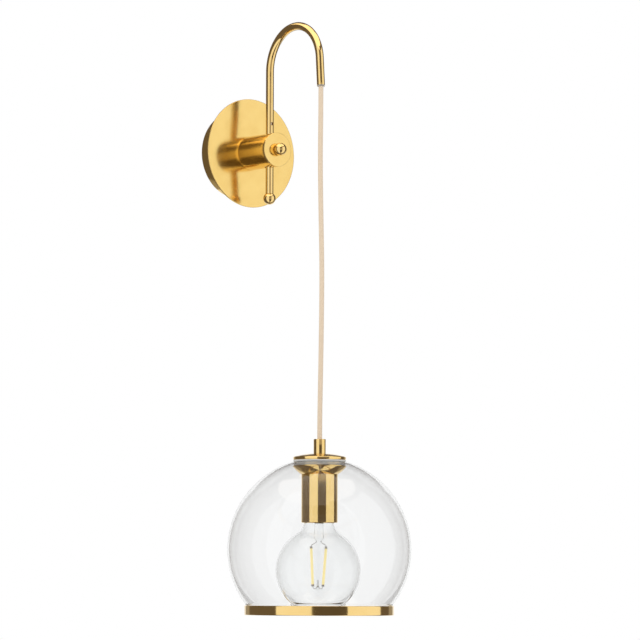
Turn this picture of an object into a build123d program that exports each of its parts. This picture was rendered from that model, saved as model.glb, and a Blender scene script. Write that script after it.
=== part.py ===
"""Wall sconce: a swan-neck tube clamped in a round stem, with a globe shade on a cord.

All lengths are millimetres.  The origin is on the wall, on the stem's axis.  +Z is up,
+X is to the right as seen from the room, and the lamp stands off the wall towards -Y.
"""
from build123d import *
import math
import os

# ---- driving dimensions -------------------------------------------------------------

# wall side
canopy_depth = 29.0
plate_radius = 62.5
plate_thickness = 2.0
drum_radius = 49.8
drum_wall = 1.2
bracket_width = 24.0
bracket_reach = 46.0
bracket_thickness = 1.6
bracket_tab = 14.0
pan_head_radius = 3.6
pan_head_height = 2.6
wall_screw_height = 30.0
wall_screw_hole = 2.6
cable_hole = 6.0
cover_screw_depth = 9.0
earth_height = 15.0
earth_head_seat = 2.6
earth_crimp_height = 3.4
earth_crimp_reach = 9.4
block_low = 9.0
block_high = 23.0
block_front = 13.6
block_width = 20.0
terminal_spacing = 10.0
terminal_screw_radius = 1.7
screw_slot_width = 0.9
nut_across_flats = 14.0
nut_height = 4.0
washer_radius = 9.0

# stem
stem_radius = 19.5
stem_length = 49.0
stem_wall = 2.0
stem_face_wall = 4.5
base_plug_thickness = 5.0
nipple_radius = 5.0
nipple_bore = 3.6
knob_radius = 7.25
knob_stand_off = 4.7
knob_gap = 0.35
screw_radius = 2.0
screw_tip_radius = 1.2
screw_bite = 7.6
pad_radius = 3.0
bush_radius = 5.6
bush_flange = 7.0
bush_foot = 14.3
bush_shoulder = 15.8
bush_top = 18.2

# arm
tube_radius = 4.5
tube_wall = 1.0
tube_stand_off = 63.0
arch_top = 137.9
arch_rear_radius = 47.5
arch_front_radius = 43.7
leg_splay = 4.2
mouth_height = 66.0
tube_foot = -49.5
finial_radius = 7.05
finial_centre = -54.9
locating_hole_radius = 1.9
locating_hole_pitch = 30.6
cord_slot_length = 40.0
cord_slot_middle = 1.0
cord_slot_width = 5.0
lip_thickness = 1.6
mouth_bush_length = 8.0

# cord
cord_radius = 2.75
core_radius = 1.0
core_ring = 1.35
neck_height = mouth_height - 0.8
neck_radius = 2.4
sheath_end = 22.0
cores_foot = -8.0

# pendant, heights on the Z axis
grip_radius = 6.8
grip_top = -332.5
grub_radius = 1.5
grub_drop = 5.0
nipple_reach = 8.5
cap_top = -348.9
cap_foot = -355.8
cap_radius = 29.6
cap_wall = 1.3
cap_flat_radius = 12.0
cap_shoulder_radius = 22.5
globe_centre = -455.7
globe_radius = 102.6
glass_wall = 2.0
globe_neck_radius = 24.0
rim_top = -518.0
rim_foot = -528.7
rim_radius = 83.4
rim_wall = 1.2
rim_ledge = 78.6
collar_top = -361.8
collar_radius = 29.8
cup_top = -372.0
cup_foot = -425.7
cup_radius = 20.3
cup_wall = 1.2
insulator_top = -381.5
insulator_foot = -411.0
insulator_radius = 18.6
insulator_floor_wall = 3.0
shell_radius = 13.9
shell_wall = 0.4

# bulb
bulb_radius = 47.5
bulb_centre = -478.9
bulb_neck_radius = 16.0
bulb_cove = 20.0
bulb_wall = 0.8
thread_radius = 13.0
thread_top = -389.5
thread_foot = -412.0
tip_height = -385.9
bulb_lean = 0.9
lean_bearing = 38.7
mount_tip = -451.0
mount_rod_foot = -499.0
stick_top = -453.3
stick_foot = -495.6
stick_top_reach = 8.3
stick_foot_reach = 5.7
stick_radius = 1.1
lead_radius = 0.35

clear = 0.05

# ---- places worked out from them ----------------------------------------------------

plate_back = canopy_depth - plate_thickness
block_depth = (bracket_thickness + block_front) / 2
block_height = (block_low + block_high) / 2
drum_floor = plate_back - drum_wall
stem_face = canopy_depth + stem_length
tube_y = -tube_stand_off
splay_sine, splay_cosine = math.sin(math.radians(leg_splay)), math.cos(math.radians(leg_splay))
leg_top = arch_top - arch_front_radius * (1 - splay_sine)
leg_y = tube_y - arch_rear_radius - arch_front_radius * splay_cosine
cord_y = leg_y - (leg_top - mouth_height) * splay_sine / splay_cosine
tube_bore = tube_radius - tube_wall
lip_foot = mouth_height - lip_thickness
thread_middle = (thread_top + thread_foot) / 2
insulator_floor = insulator_top - insulator_floor_wall
view_right = (math.cos(math.radians(lean_bearing)), -math.sin(math.radians(lean_bearing)))


# ---- helpers ------------------------------------------------------------------------

def turned(*edges):
    """Solid turned about Z, from edges drawn as (radius, height)."""
    return revolve(Plane.XZ * make_face(edges), Axis.Z)


def outline(*points):
    """Closed straight-sided outline."""
    return Polyline(*points, close=True)


def ring(outer, inner, low, high):
    """Plain ring about Z, or a disc where inner is 0."""
    return turned(outline((inner, low), (outer, low), (outer, high), (inner, high)))


def outward(shape):
    """Lay a solid turned about Z on the stem's axis: its height becomes the distance off the wall."""
    return Rot(90, 0, 0) * shape


def on_cord(shape):
    """Put a solid turned about Z on the cord's axis."""
    return Pos(0, cord_y, 0) * shape


def hexagon(across_flats, bore, low, high):
    """Hexagon nut about Z."""
    body = extrude(RegularPolygon(across_flats / math.sqrt(3), 6), high - low)
    return Pos(0, 0, low) * body - ring(bore, 0, low, high)


def rod(start, end, radius):
    """Straight round rod between two points."""
    path = Line(start, end)
    return sweep(Plane(origin=path @ 0, z_dir=path % 0) * Circle(radius), path=path)


def pipe(path, radius):
    """Round bar along a path."""
    return sweep(Plane(origin=path @ 0, z_dir=path % 0) * Circle(radius), path=path)


def rim_edges(shape, axis=Axis.Z, end=-1):
    """Circular edges of the face at one end of a turned solid."""
    return shape.faces().sort_by(axis)[end].edges()


# ---- wall side ----------------------------------------------------------------------

def wall_bracket():
    """Folded steel strap: two wall-screw holes, a cable hole and two tabs for the cover screws."""
    strap = Pos(0, -bracket_thickness / 2, 0) * Box(bracket_width, bracket_thickness, 2 * bracket_reach)
    tab = Box(bracket_width, bracket_tab, bracket_thickness)
    tab_z = bracket_reach - bracket_thickness / 2
    for side in (1, -1):
        strap += Pos(0, -bracket_tab / 2, side * tab_z) * tab
        strap -= Pos(0, 0, side * wall_screw_height) * outward(ring(wall_screw_hole, 0, -1, 3))
        strap -= Pos(0, -cover_screw_depth, side * tab_z) * Cylinder(screw_radius + clear, 4)
    strap -= outward(ring(cable_hole, 0, -1, 3))
    return strap - Pos(0, 0, -earth_height) * outward(ring(screw_radius + clear, 0, -1, 3))


def canopy_drum():
    """Spun drum behind the front plate, open towards the wall."""
    bore, inner = nipple_radius + clear, drum_radius - drum_wall
    drum = turned(outline((bore, drum_floor), (inner, drum_floor), (inner, 0), (drum_radius, 0),
                          (drum_radius, plate_back), (bore, plate_back)))
    drum = outward(drum)
    return drum - Pos(0, -cover_screw_depth, 0) * Cylinder(screw_radius + 0.2, 4 * drum_radius)


def canopy_plate():
    """Flat round front plate with a softened edge."""
    plate = ring(plate_radius, nipple_radius + clear, plate_back, canopy_depth)
    rims = plate.edges().filter_by(GeomType.CIRCLE).filter_by(lambda e: e.radius > plate_radius - 1)
    return outward(fillet(rims, 0.5))


def canopy_screws():
    """Two pan-head screws through the drum into the bracket's tabs, at the top and the bottom."""
    seat, top = drum_radius + clear, drum_radius + pan_head_height
    edge, flat = pan_head_radius, pan_head_radius - 1.6
    side = top - 1.6
    head = turned(Line((0, top), (flat, top)),
                  ThreePointArc((flat, top), (edge - 0.4, top - 0.5), (edge, side)),
                  Line((edge, side), (edge, seat)), Line((edge, seat), (0, seat)), Line((0, seat), (0, top)))
    slot = Pos(0, 0, top) * Box(3 * pan_head_radius, screw_slot_width, 2.0)
    screw = head + ring(screw_radius, 0, bracket_reach - 4, seat) - slot
    upper = Pos(0, -cover_screw_depth, 0) * screw
    return [upper, Rot(0, 180, 0) * upper]


def earth_screw():
    """Screw that holds the earth core's tag on the bracket."""
    head_top = earth_head_seat + 2.2
    screw = ring(screw_radius, 0, 0, earth_head_seat) + ring(pan_head_radius, 0, earth_head_seat, head_top)
    screw -= Pos(0, 0, head_top) * Box(3 * pan_head_radius, screw_slot_width, 1.8)
    return Pos(0, 0, -earth_height) * outward(screw)


def earth_tag():
    """Ring tag crimped on the earth core, under the screw's head."""
    thickness = earth_head_seat - bracket_thickness
    tag = ring(4.0, screw_radius + clear, bracket_thickness, earth_head_seat)
    tag += Pos(0, 5.2, bracket_thickness + thickness / 2) * Box(2.6, 5.4, thickness)
    tag -= ring(screw_radius + clear, 0, 0, 6)
    crimp_end = (0, earth_crimp_reach, earth_crimp_height)
    tag += rod((0, earth_crimp_reach - 3, earth_crimp_height), crimp_end, 1.5)
    return Pos(0, 0, -earth_height) * outward(tag)


def terminal_block():
    """Two-way terminal block on the bracket, with a hole for each core and each screw."""
    block = Box(block_width, block_front - bracket_thickness, block_high - block_low)
    block = fillet(block.edges().filter_by(Axis.Z), 1.0)
    block = Pos(0, -block_depth, block_height) * block
    screw_hole = outward(ring(terminal_screw_radius + 0.1, 0, block_depth - 0.6, block_front + 1))
    for side in (1, -1):
        x = side * terminal_spacing / 2
        block -= Pos(x, -block_depth, block_low + 3) * Cylinder(core_radius + 0.15, 8)
        block -= Pos(x, 0, block_height) * screw_hole
    return block


def terminal_screws():
    """The two wire-clamping screws of the block."""
    head = block_front - 1
    screw = ring(terminal_screw_radius, 0, block_depth - 0.4, head) - Pos(0, 0, head) * Box(5, 0.6, 1.6)
    return [Pos(side * terminal_spacing / 2, 0, block_height) * outward(screw) for side in (1, -1)]


def stem_barrel():
    """Turned barrel, closed at its face, with cross holes for the arm and a tapped hole for the screw."""
    inner = stem_radius - stem_wall
    barrel = turned(outline((0, stem_face), (stem_radius, stem_face), (stem_radius, canopy_depth),
                            (inner, canopy_depth), (inner, stem_face - stem_face_wall),
                            (0, stem_face - stem_face_wall)))
    barrel = chamfer(rim_edges(barrel), 0.5)
    barrel -= ring(screw_radius + clear, 0, stem_face - 8, stem_face + 1)
    barrel = outward(barrel)
    return barrel - Pos(0, tube_y, 0) * Cylinder(bush_radius + clear, 3 * stem_radius)


def guide_bush(side):
    """Flanged bush in the barrel's cross hole: it turns in the barrel and the tube slides in it."""
    bore = tube_radius + clear
    bush = turned(outline((bore, bush_foot), (bush_flange, bush_foot), (bush_flange, bush_shoulder),
                          (bush_radius, bush_shoulder), (bush_radius, bush_top), (bore, bush_top)))
    return Pos(0, tube_y, 0) * Rot(0 if side > 0 else 180, 0, 0) * bush


def stem_base_plug():
    """Plug that closes the barrel's wall end and holds the hollow nipple."""
    inner = stem_radius - stem_wall - clear
    plug = ring(inner, nipple_radius + clear, canopy_depth, canopy_depth + base_plug_thickness)
    return outward(plug)


def stem_nipple():
    """Hollow threaded rod through the plug, the plate and the drum."""
    return outward(ring(nipple_radius, nipple_bore, 17.0, canopy_depth + base_plug_thickness))


def nipple_washer():
    """Washer under the nipple's nut."""
    return outward(ring(washer_radius, nipple_radius + clear, drum_floor - 1.0, drum_floor))


def nipple_nut():
    """Nut that pulls the stem against the plate and the drum."""
    low = drum_floor - 1.0 - nut_height
    return outward(hexagon(nut_across_flats, nipple_radius + clear, low, low + nut_height))


def thumb_screw():
    """Clamping screw with a flat-backed ball head, a shank and a tip that bears in the pad."""
    ball_centre = stem_face + knob_stand_off
    back = stem_face + knob_gap
    tip = screw_tip_radius
    flat = math.sqrt(knob_radius ** 2 - (ball_centre - back) ** 2)
    shank_end = stem_face - screw_bite
    foot = shank_end - 1.0
    screw = turned(Line((0, foot), (tip, foot)), Line((tip, foot), (tip, shank_end)),
                   Line((tip, shank_end), (screw_radius, shank_end)),
                   Line((screw_radius, shank_end), (screw_radius, back)),
                   Line((screw_radius, back), (flat, back)),
                   ThreePointArc((flat, back), (knob_radius, ball_centre), (0, ball_centre + knob_radius)),
                   Line((0, ball_centre + knob_radius), (0, foot)))
    return outward(screw)


def clamp_pad():
    """Pressure pad between the screw's tip and the tube."""
    pad_back = stem_face - screw_bite - 0.1
    pad_front = tube_stand_off + tube_radius + 0.3
    pad = ring(pad_radius, 0, pad_front, pad_back)
    return outward(pad - ring(screw_tip_radius + clear, 0, pad_back - 1.15, pad_back + 1))


def core_set(axis_point, turn=0.0):
    """Places of the three insulated cores about a cord's axis."""
    angles = [math.radians(turn + 120 * i) for i in range(3)]
    x, y = axis_point
    return [(x + core_ring * math.sin(a), y + core_ring * math.cos(a)) for a in angles]


def canopy_core(name):
    """One core from the barrel through the nipple to its terminal or its earth tag."""
    start = -(tube_stand_off - tube_radius - 2.0)
    terminal_x, terminal_z = terminal_spacing / 2, block_low + 3.0
    earth_z = earth_crimp_reach - earth_height
    places = {"earth": (0.0, -core_ring, -7.0, 0.0, -earth_crimp_height, -3.4, earth_z),
              "live": (1.2, 0.7, -14.0, terminal_x, -block_depth, 4.4, terminal_z),
              "neutral": (-1.2, 0.7, -14.0, -terminal_x, -block_depth, 4.4, terminal_z)}
    x, z, bend_y, end_x, end_y, bend_z, end_z = places[name]
    path = FilletPolyline((x, start, z), (x, bend_y, z), (end_x, end_y, bend_z), (end_x, end_y, end_z),
                          radius=[2.4, 1.6])
    return pipe(path, core_radius)


# ---- arm ----------------------------------------------------------------------------

def arm_line(low, high):
    """Centre line from a height on the rear leg, over the arch, to a height on the splayed front leg."""
    spring = arch_top - arch_rear_radius
    apex = (0, tube_y - arch_rear_radius, arch_top)
    rear_share = arch_rear_radius * math.sqrt(0.5)
    front_half = math.radians(45 + leg_splay / 2)
    rear_middle = (0, tube_y - arch_rear_radius + rear_share, spring + rear_share)
    front_middle = (0, apex[1] - arch_front_radius * math.cos(front_half),
                    arch_top - arch_front_radius * (1 - math.sin(front_half)))
    foot_y = leg_y - (leg_top - high) * splay_sine / splay_cosine
    return (Line((0, tube_y, low), (0, tube_y, spring))
            + ThreePointArc((0, tube_y, spring), rear_middle, apex)
            + ThreePointArc(apex, front_middle, (0, leg_y, leg_top))
            + Line((0, leg_y, leg_top), (0, foot_y, high)))


def on_leg(shape):
    """Put a solid turned about Z, drawn with the tube's mouth at its own height, on the splayed leg."""
    lean = Axis((0, cord_y, mouth_height), (1, 0, 0))
    return on_cord(shape).rotate(lean, -leg_splay)


def arm_tube():
    """Swan-neck tube with two locating holes in front and the cord slot towards the wall."""
    line = arm_line(tube_foot, mouth_height)
    tube = pipe(line, tube_radius) - pipe(line, tube_bore)
    for height in (0, locating_hole_pitch):
        hole = Pos(0, 0, height) * outward(ring(locating_hole_radius, 0, tube_stand_off, tube_stand_off + 8))
        tube -= hole
    slot = Box(cord_slot_width, 8, cord_slot_length)
    slot = fillet(slot.edges().filter_by(Axis.Y), cord_slot_width / 2 - 0.1)
    return tube - Pos(0, tube_y + 4, cord_slot_middle) * slot


def ball_finial():
    """Ball that closes the tube's foot, with a spigot up into the tube."""
    flat = math.sqrt(finial_radius ** 2 - (tube_foot - finial_centre) ** 2)
    spigot_top = tube_foot + 9
    spigot = tube_bore - clear
    ball = turned(Line((0, finial_centre - finial_radius), (0, spigot_top)),
                  Line((0, spigot_top), (spigot, spigot_top)),
                  Line((spigot, spigot_top), (spigot, tube_foot)),
                  Line((spigot, tube_foot), (flat, tube_foot)),
                  ThreePointArc((flat, tube_foot), (finial_radius, finial_centre),
                                (0, finial_centre - finial_radius)))
    return Pos(0, tube_y, 0) * ball


def mouth_bush():
    """Clear plastic bush that keeps the cord off the tube's edge."""
    sleeve = tube_bore - clear
    bore = cord_radius + 0.15
    lip_bore = cord_radius + 0.75
    top = mouth_height + mouth_bush_length
    bush = turned(outline((bore, top), (sleeve, top), (sleeve, mouth_height),
                          (tube_radius, mouth_height), (tube_radius, lip_foot), (lip_bore, lip_foot),
                          (lip_bore, mouth_height + 1.0), (bore, mouth_height + 3.0)))
    return on_leg(bush)


def arm_cord():
    """The cord inside the tube, from the mouth to where its sheath is stripped."""
    return pipe(arm_line(sheath_end, neck_height + neck_radius + 0.2), cord_radius)


def arm_cores():
    """The three cores inside the tube, from the end of the sheath down to the slot."""
    return [rod((x, y, cores_foot), (x, y, sheath_end), core_radius) for x, y in core_set((0, tube_y))]


# ---- cord ---------------------------------------------------------------------------

# Sideways set of the hanging cord, seen from the front left, at each height.
cord_bow = [(62.4, 0.0), (30.0, 0.0), (-15.0, -0.5), (-75.0, 0.4), (-140.0, 1.9), (-205.0, 1.5),
            (-265.0, 0.7), (-303.0, 0.0), (grip_top, 0.0)]


def corner_radii(points):
    """Radius of the arc at each corner: 0.45 of the shorter run over the tangent of half the turn."""
    radii = []
    for a, b, c in zip(points, points[1:], points[2:]):
        into, out = Vector(b) - Vector(a), Vector(c) - Vector(b)
        turn = math.radians(into.get_angle(out))
        radii.append(0.45 * min(into.length, out.length) / math.tan(turn / 2))
    return radii


def cord_route():
    """Points that the free cord follows, from the mouth down to the grip."""
    right_x, right_y = view_right
    return [(set_off * right_x, cord_y + set_off * right_y, height) for height, set_off in cord_bow]


def cord_drop():
    """The free cord from the mouth to the grip, nearly straight under the shade's weight."""
    points = cord_route()
    radii = corner_radii(points)
    path = FilletPolyline(*points, radius=radii)
    cord = pipe(path, cord_radius)
    print("cord_drop arc radii", [round(r) for r in radii])
    print("cord_drop length", round(path.length, 1), "volume ratio",
          round(cord.volume / (math.pi * cord_radius ** 2 * path.length), 5))
    return cord


def cord_neck():
    """The bit of cord that flexes in the mouth, as a ball about the point it bends at."""
    return on_cord(Pos(0, 0, neck_height) * Sphere(neck_radius))


# ---- pendant ------------------------------------------------------------------------

def cord_grip():
    """Round cord grip on top of the cap."""
    grip = ring(grip_radius, cord_radius + 0.1, cap_top, grip_top)
    grip -= ring(nipple_radius + clear, 0, cap_top - 1, cap_top + nipple_reach + 0.1)
    grip = chamfer(rim_edges(grip).filter_by(lambda e: e.radius > grip_radius - 1), 0.4)
    hole = Rot(-90, 0, 0) * ring(grub_radius + clear, 0, 0, grip_radius + 2)
    return on_cord(grip - Pos(0, 0, grip_top - grub_drop) * hole)


def grip_screw():
    """Grub screw that bites on the cord, on the side towards the wall."""
    screw = ring(grub_radius, 0, cord_radius + 0.1, grip_radius - 0.3)
    screw -= Pos(0, 0, grip_radius - 0.5) * Box(4, 0.6, 1.0)
    return on_cord(Pos(0, 0, grip_top - grub_drop) * (Rot(-90, 0, 0) * screw))


def cap_profile(drop, shrink, foot):
    """Half outline of the cap: a low crown, a brow and an upright rim down to a height."""
    top, rim = cap_top - drop, cap_radius - shrink
    knee, brow, side = (cap_shoulder_radius, top - 1.6), (rim - 1.1, top - 3.2), (rim, top - 4.4)
    return [ThreePointArc((cap_flat_radius, top), (17.6, top - 0.6), knee),
            ThreePointArc(knee, (rim - 3.7, top - 2.35), brow),
            ThreePointArc(brow, (rim - 0.3, top - 3.65), side), Line(side, (rim, foot))]


def top_cap():
    """Shallow cap over the glass, with an upright rim that rolls in at its foot."""
    bore, under = nipple_radius + clear, cap_top - cap_wall
    rim, inner, toe, roll = cap_radius, cap_radius - cap_wall, cap_radius - 0.7, cap_foot + 1.3
    cap = turned(Line((bore, under), (bore, cap_top)), Line((bore, cap_top), (cap_flat_radius, cap_top)),
                 *cap_profile(0, 0, roll),
                 ThreePointArc((rim, roll), (rim - 0.18, cap_foot + 0.55), (toe, cap_foot)),
                 Line((toe, cap_foot), (inner, cap_foot)),
                 *cap_profile(cap_wall, cap_wall, cap_foot), Line((cap_flat_radius, under), (bore, under)))
    return on_cord(cap)


def sphere_height(radius, ball):
    """Height on a ball above its centre at a radius from the axis."""
    return math.sqrt(ball ** 2 - radius ** 2)


def glass_shade():
    """Clear globe with a round neck hole on top and a short upright lip at its mouth."""
    ball, inside, neck = globe_radius, globe_radius - glass_wall, globe_neck_radius
    neck_out = globe_centre + sphere_height(neck, ball)
    neck_in = globe_centre + sphere_height(neck, inside)
    lip = sphere_height(rim_top - globe_centre, ball)
    lip_in = lip - glass_wall
    lip_foot_z = rim_foot + rim_wall + 0.05
    inner_lip_z = globe_centre - sphere_height(lip_in, inside)
    glass = turned(ThreePointArc((neck, neck_out), (ball, globe_centre), (lip, rim_top)),
                   Line((lip, rim_top), (lip, lip_foot_z)),
                   Line((lip, lip_foot_z), (lip_in, lip_foot_z)),
                   Line((lip_in, lip_foot_z), (lip_in, inner_lip_z)),
                   ThreePointArc((lip_in, inner_lip_z), (inside, globe_centre), (neck, neck_in)),
                   Line((neck, neck_in), (neck, neck_out)))
    return on_cord(glass)


def upper_gasket():
    """Soft ring between the cap's rim and the glass."""
    outer, inner = cap_radius - 0.3, cap_radius - 2.4
    low_out = globe_centre + sphere_height(outer, globe_radius) + 0.06
    low_in = globe_centre + sphere_height(inner, globe_radius) + 0.06
    gasket = turned(outline((inner, low_in), (outer, low_out), (outer, cap_foot), (inner, cap_foot)))
    return on_cord(gasket)


def lower_gasket():
    """Soft ring between the glass and the collar."""
    outer, inner = collar_radius - 0.9, globe_neck_radius - 2.0
    inside = globe_radius - glass_wall
    high_out = globe_centre + sphere_height(outer, inside) - 0.06
    high_in = globe_centre + sphere_height(inner, inside) - 0.06
    gasket = turned(outline((inner, collar_top - 1.5), (outer, collar_top - 0.85),
                            (outer, high_out), (inner, high_in)))
    return on_cord(gasket)


def gallery_collar():
    """Bowl-shaped collar that carries the glass, on top of the lampholder cup."""
    floor_top = cup_top + 1.5
    bore = nipple_radius + clear
    floor_edge, bead, seat = cup_radius - 1.6, collar_top - 1.6, collar_radius - 2.4
    collar = turned(Line((bore, cup_top), (bore, floor_top)), Line((bore, floor_top), (floor_edge, floor_top)),
                    ThreePointArc((floor_edge, floor_top), (24.3, collar_top - 4.9), (seat, bead)),
                    Line((seat, bead), (collar_radius, collar_top - 0.4)),
                    Line((collar_radius, collar_top - 0.4), (collar_radius, bead)),
                    ThreePointArc((collar_radius, bead), (26.4, collar_top - 5.4), (cup_radius, cup_top)),
                    Line((cup_radius, cup_top), (bore, cup_top)))
    return on_cord(collar)


def pendant_nipple():
    """Hollow threaded rod from the grip, through the cap and the collar, into the cup."""
    return on_cord(ring(nipple_radius, nipple_bore, insulator_top + 1.0, cap_top + nipple_reach))


def collar_nut():
    """Nut inside the cup that holds it up against the collar."""
    high = cup_top - cup_wall
    return on_cord(hexagon(nut_across_flats, nipple_radius + clear, high - nut_height, high))


def lampholder_cup():
    """Polished cup over the lampholder, open below."""
    bore, inner, under = nipple_radius + clear, cup_radius - cup_wall, cup_top - cup_wall
    cup = turned(outline((bore, cup_top), (cup_radius, cup_top), (cup_radius, cup_foot),
                         (inner, cup_foot), (inner, under), (bore, under)))
    return on_cord(fillet(rim_edges(cup, end=0), 0.4))


def lampholder_insulator():
    """Ceramic body that holds the screw shell and the contacts."""
    bore = shell_radius + 0.3
    body = turned(outline((0, insulator_top), (insulator_radius, insulator_top),
                          (insulator_radius, insulator_foot), (bore, insulator_foot),
                          (bore, insulator_floor), (0, insulator_floor)))
    for x, y in core_set((0, 0)):
        body -= Pos(x, y, insulator_top) * Cylinder(core_radius + 0.1, 10)
    return on_cord(body)


def screw_shell():
    """Threaded brass shell of the lampholder."""
    return on_cord(ring(shell_radius, shell_radius - shell_wall, insulator_foot + 0.5, thread_top + 1.0))


def centre_contact():
    """Spring strip on the insulator's floor that the bulb's tip presses on."""
    strip = Pos(0, 0, insulator_floor - 0.35) * Box(16, 4.5, 0.5)
    return on_cord(strip + ring(3.2, 0, tip_height + 0.2, insulator_floor - 0.2))


def side_contact():
    """Tongue beside the shell that feeds it."""
    tongue = Pos(shell_radius - 1.1, 0, insulator_floor - 2.3) * Box(0.6, 5, 3.4)
    foot = Pos(shell_radius - 2.2, 0, insulator_floor - 0.35) * Box(2.8, 5, 0.5)
    return on_cord(tongue + foot)


def rim_ring():
    """Polished hoop round the shade's mouth, with a ledge under the glass."""
    inner = sphere_height(rim_top - globe_centre, globe_radius) + clear
    ledge_top = rim_foot + rim_wall
    hoop = turned(outline((inner, rim_top), (rim_radius, rim_top), (rim_radius, rim_foot),
                          (rim_ledge, rim_foot), (rim_ledge, ledge_top), (inner, ledge_top)))
    outer = hoop.edges().filter_by(lambda e: e.geom_type == GeomType.CIRCLE and e.radius > rim_radius - 0.1)
    return on_cord(fillet(outer, 0.8))


def cord_end():
    """The sheathed cord inside the grip and the nipple."""
    return on_cord(ring(cord_radius, 0, cap_foot, grip_top))


def holder_cores():
    """The cores from the stripped sheath down into the insulator."""
    return [rod((x, cord_y + y, insulator_top - 2.0), (x, cord_y + y, cap_foot), core_radius)
            for x, y in core_set((0, 0))]


# ---- bulb ---------------------------------------------------------------------------

def leaning(shape):
    """Put a bulb piece on the cord's axis and lean it with the bulb in its holder."""
    bearing = math.radians(lean_bearing)
    line = Axis((0, cord_y, thread_middle), (math.sin(bearing), math.cos(bearing), 0))
    return on_cord(shape).rotate(line, bulb_lean)


def bulb_profile(shrink):
    """Outline of the bulb's glass, drawn in by its wall for the inside."""
    ball, neck = bulb_radius - shrink, bulb_neck_radius - shrink
    cove = bulb_cove + shrink
    rise = math.sqrt((bulb_radius + bulb_cove) ** 2 - (bulb_neck_radius + bulb_cove) ** 2)
    cove_r, cove_z = bulb_neck_radius + bulb_cove, bulb_centre + rise
    share = ball / (bulb_radius + bulb_cove)
    join = (cove_r * share, bulb_centre + rise * share)
    half = (math.atan2(-rise, -cove_r) + math.pi) / 2 - math.pi
    middle = (cove_r + cove * math.cos(half), cove_z + cove * math.sin(half))
    foot = bulb_centre - ball
    return [Line((neck, thread_foot - 2.2), (neck, cove_z)), ThreePointArc((neck, cove_z), middle, join),
            ThreePointArc(join, (ball, bulb_centre), (0, foot))], foot


def bulb_glass():
    """Thin clear envelope with a neck that enters the metal cap."""
    outside, foot = bulb_profile(0)
    inside, inner_foot = bulb_profile(bulb_wall)
    throat = thread_radius + 0.6
    top = thread_foot + 0.05
    step = thread_foot - 2.2
    inner = throat - bulb_wall
    glass = turned(*outside, Line((0, foot), (0, inner_foot)), *inside,
                   Line((bulb_neck_radius - bulb_wall, step), (inner, top)),
                   Line((inner, top), (throat, top)), Line((throat, top), (bulb_neck_radius, step)))
    return leaning(glass)


def bulb_cap():
    """Screw cap of the bulb, a thin shell."""
    wall = 0.5
    cap = turned(outline((thread_radius - wall, thread_foot + 0.1), (thread_radius, thread_foot + 0.1),
                         (thread_radius, thread_top - 1.4), (10.0, thread_top), (9.6, thread_top - 0.5),
                         (thread_radius - wall, thread_top - 1.7)))
    return leaning(cap)


def bulb_insulator():
    """Dark glass collar between the cap and the tip contact."""
    return leaning(turned(outline((0, thread_top - 0.5), (9.55, thread_top - 0.5), (9.9, thread_top + 0.05),
                                  (5.4, tip_height - 0.9), (0, tip_height - 0.9))))


def bulb_contact():
    """Tip contact of the bulb."""
    low = tip_height - 0.9
    return leaning(turned(outline((0, low), (4.6, low), (3.6, tip_height - 0.25), (1.6, tip_height),
                                  (0, tip_height))))


def bulb_stem():
    """Glass mount: flared foot, stem tube, flattened seal and a slim centre rod."""
    rod_radius, flare_top, flare_foot = 1.3, thread_foot - 1.5, thread_foot - 2.5
    stem = turned(outline((0, flare_top), (12.6, flare_top), (12.6, flare_foot), (6.4, thread_foot - 7.0),
                          (4.8, mount_tip + 27.0), (4.8, mount_tip + 13.0), (2.6, mount_tip + 7.0),
                          (2.6, mount_tip + 3.0), (rod_radius, mount_tip), (rod_radius, mount_rod_foot),
                          (0, mount_rod_foot - 1.3)))
    return leaning(stem)


def across(reach, height):
    """Point beside the bulb's axis, to the right as the lamp is seen."""
    return (reach * view_right[0], reach * view_right[1], height)


def filaments():
    """Two light sticks, closer together at their feet."""
    sticks = []
    for side in (1, -1):
        stick = rod(across(side * stick_top_reach, stick_top), across(side * stick_foot_reach, stick_foot),
                    stick_radius)
        sticks.append(leaning(stick))
    return sticks


def filament_leads():
    """Wires that hold the sticks: from the seal at the top and from the rod at the foot."""
    leads = []
    seal, foot_height, rod_height = mount_tip + 3.8, stick_foot - 0.6, mount_rod_foot + 1.6
    top_reach, foot_reach = stick_top_reach + 0.3, stick_foot_reach - 0.1
    for side in (1, -1):
        top = rod(across(side * 3.0, seal), across(side * top_reach, stick_top + 1.0), lead_radius)
        foot = rod(across(side * 1.4, rod_height), across(side * foot_reach, foot_height), lead_radius)
        leads += [leaning(top), leaning(foot)]
    return leads


# ---- one file for each piece --------------------------------------------------------

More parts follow.
